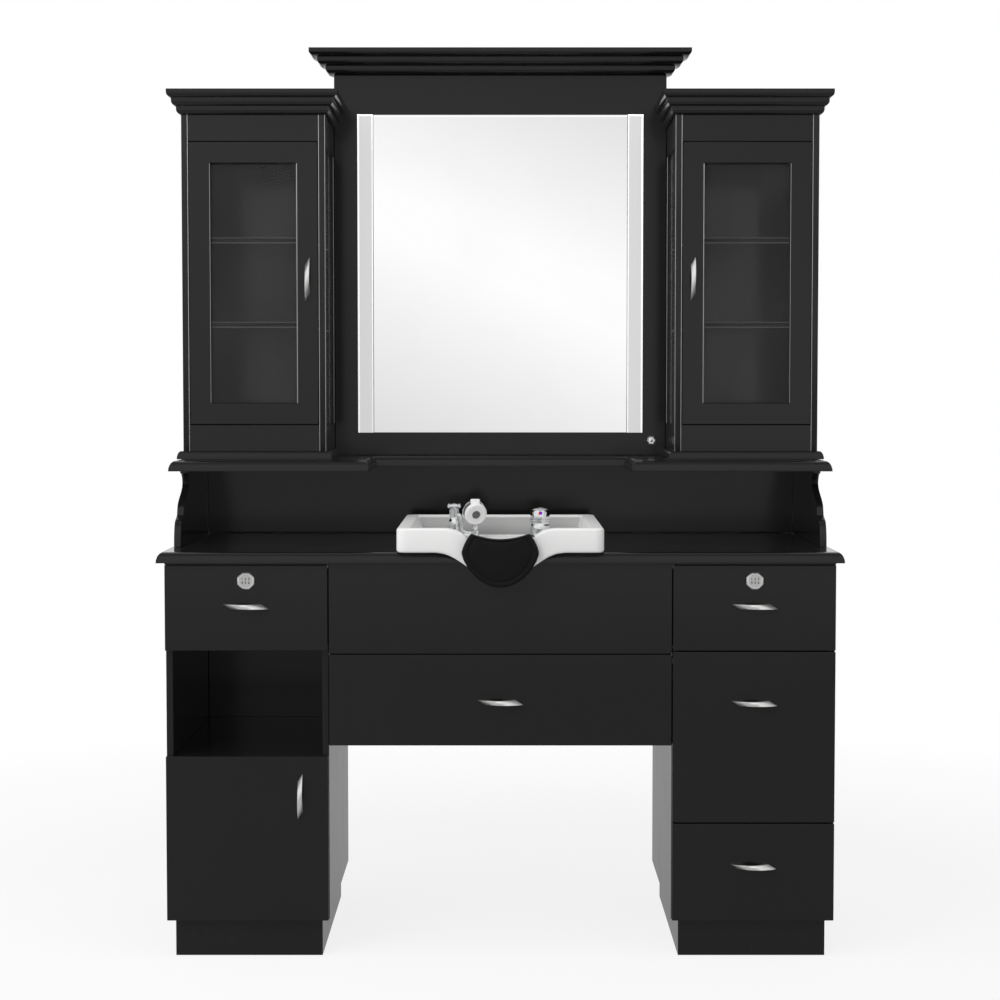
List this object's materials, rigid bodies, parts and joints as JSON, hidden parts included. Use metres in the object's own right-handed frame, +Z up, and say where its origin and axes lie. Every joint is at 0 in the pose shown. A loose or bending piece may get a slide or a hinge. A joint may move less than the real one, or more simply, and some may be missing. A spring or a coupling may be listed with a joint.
{
  "type": "shampoo station",
  "caption": "Salon shampoo station: lacquered pedestals with drawers and doors, a countertop with a ceramic wash bowl and neck rest, and a lit mirror between glazed cabinets.",
  "frame": {"origin": "on the floor, at the middle of the station's width and depth", "axes": "+Z up, +X to the right as seen from the front, -Y towards the user"},
  "size_m": [1.629, 0.73, 2.2063],
  "materials": {
    "black_lacquer": "satin black lacquer on board",
    "drawer_board": "matt black melamine board",
    "satin_nickel": "satin nickel",
    "chrome": "polished chrome",
    "glass": "clear float glass",
    "mirror_silver": "silvered glass",
    "opal_acrylic": "opal acrylic light bar",
    "glazed_ceramic": "white glaze",
    "white_plastic": "white gloss plastic",
    "black_rubber": "moulded satin rubber"
  },
  "bodies": {
    "station": {"apron_panel": "black_lacquer", "backsplash": "black_lacquer", "bowl": "glazed_ceramic", "centre_crown": "black_lacquer", "countertop": "black_lacquer", "drain": "chrome", "mirror": "mirror_silver", "mirror_panel": "black_lacquer", "mixer_body": "chrome", "neck_rest": "black_rubber", "shelf_board": "black_lacquer", "spray_stand": "chrome", "left_bracket": "black_lacquer", "left_carcass": "black_lacquer", "left_case": "black_lacquer", "left_crown": "black_lacquer", "left_inner_side": "black_lacquer", "left_outer_side": "black_lacquer", "left_light_bar": "opal_acrylic", "left_lower_shelf": "black_lacquer", "left_upper_shelf": "black_lacquer", "left_side_glass": "glass", "right_bracket": "black_lacquer", "right_carcass": "black_lacquer", "right_case": "black_lacquer", "right_crown": "black_lacquer", "right_inner_side": "black_lacquer", "right_outer_side": "black_lacquer", "right_light_bar": "opal_acrylic", "right_lower_shelf": "black_lacquer", "right_upper_shelf": "black_lacquer", "right_side_glass": "glass"},
    "left_door": {"left_door_frame": "black_lacquer", "left_door_glass": "glass", "left_door_handle": "satin_nickel"},
    "right_door": {"right_door_frame": "black_lacquer", "right_door_glass": "glass", "right_door_handle": "satin_nickel"},
    "lower_door": {"lower_door_panel": "black_lacquer", "lower_door_handle": "satin_nickel"},
    "left_drawer": {"left_drawer_front": "black_lacquer", "left_drawer_box": "drawer_board", "left_drawer_handle": "satin_nickel"},
    "right_top_drawer": {"right_top_drawer_front": "black_lacquer", "right_top_drawer_box": "drawer_board", "right_top_drawer_handle": "satin_nickel"},
    "right_middle_drawer": {"right_middle_drawer_front": "black_lacquer", "right_middle_drawer_box": "drawer_board", "right_middle_drawer_handle": "satin_nickel"},
    "right_bottom_drawer": {"right_bottom_drawer_front": "black_lacquer", "right_bottom_drawer_box": "drawer_board", "right_bottom_drawer_handle": "satin_nickel"},
    "centre_drawer": {"centre_drawer_front": "black_lacquer", "centre_drawer_box": "drawer_board", "centre_drawer_handle": "satin_nickel"},
    "left_lock": {"left_lock": "satin_nickel"},
    "right_top_lock": {"right_top_lock": "satin_nickel"},
    "mixer_handle": {"mixer_handle": "chrome"},
    "spray_head": {"spray_head": "white_plastic"},
    "dimmer_knob": {"dimmer_knob": "satin_nickel"}
  },
  "joints": [
    {"name": "lower_door_hinge", "type": "hinge", "parent": "station", "child": "lower_door", "pos_m": [-0.7825, -0.2895, 0.28215], "axis": [0, 0, -1], "range_deg": [0, 110]},
    {"name": "left_door_hinge", "type": "hinge", "parent": "station", "child": "left_door", "pos_m": [-0.766, 0.018, 1.5935], "axis": [0, 0, -1], "range_deg": [0, 110]},
    {"name": "right_door_hinge", "type": "hinge", "parent": "station", "child": "right_door", "pos_m": [0.766, 0.018, 1.5935], "axis": [0, 0, 1], "range_deg": [0, 110]},
    {"name": "left_drawer_slide", "type": "slide", "parent": "station", "child": "left_drawer", "axis": [0, -1, 0], "range_m": [0, 0.4]},
    {"name": "right_top_drawer_slide", "type": "slide", "parent": "station", "child": "right_top_drawer", "axis": [0, -1, 0], "range_m": [0, 0.4]},
    {"name": "right_middle_drawer_slide", "type": "slide", "parent": "station", "child": "right_middle_drawer", "axis": [0, -1, 0], "range_m": [0, 0.4]},
    {"name": "right_bottom_drawer_slide", "type": "slide", "parent": "station", "child": "right_bottom_drawer", "axis": [0, -1, 0], "range_m": [0, 0.4]},
    {"name": "centre_drawer_slide", "type": "slide", "parent": "station", "child": "centre_drawer", "axis": [0, -1, 0], "range_m": [0, 0.27]},
    {"name": "left_lock_turn", "type": "hinge", "parent": "left_drawer", "child": "left_lock", "pos_m": [-0.59262, -0.3055, 0.889], "axis": [0, -1, 0], "range_deg": [0, 90]},
    {"name": "right_top_lock_turn", "type": "hinge", "parent": "right_top_drawer", "child": "right_top_lock", "pos_m": [0.59262, -0.3055, 0.889], "axis": [0, -1, 0], "range_deg": [0, 90]},
    {"name": "mixer_handle_turn", "type": "hinge", "parent": "station", "child": "mixer_handle", "pos_m": [0.1, 0.097, 1.0026], "axis": [0, 0, 1], "range_deg": [-60, 60]},
    {"name": "spray_head_lift", "type": "slide", "parent": "station", "child": "spray_head", "axis": [0, 0, 1], "range_m": [0, 0.12]},
    {"name": "dimmer_turn", "type": "hinge", "parent": "station", "child": "dimmer_knob", "pos_m": [0.393, 0.319, 1.2], "axis": [0, -1, 0], "range_deg": [0, 270]}
  ]
}
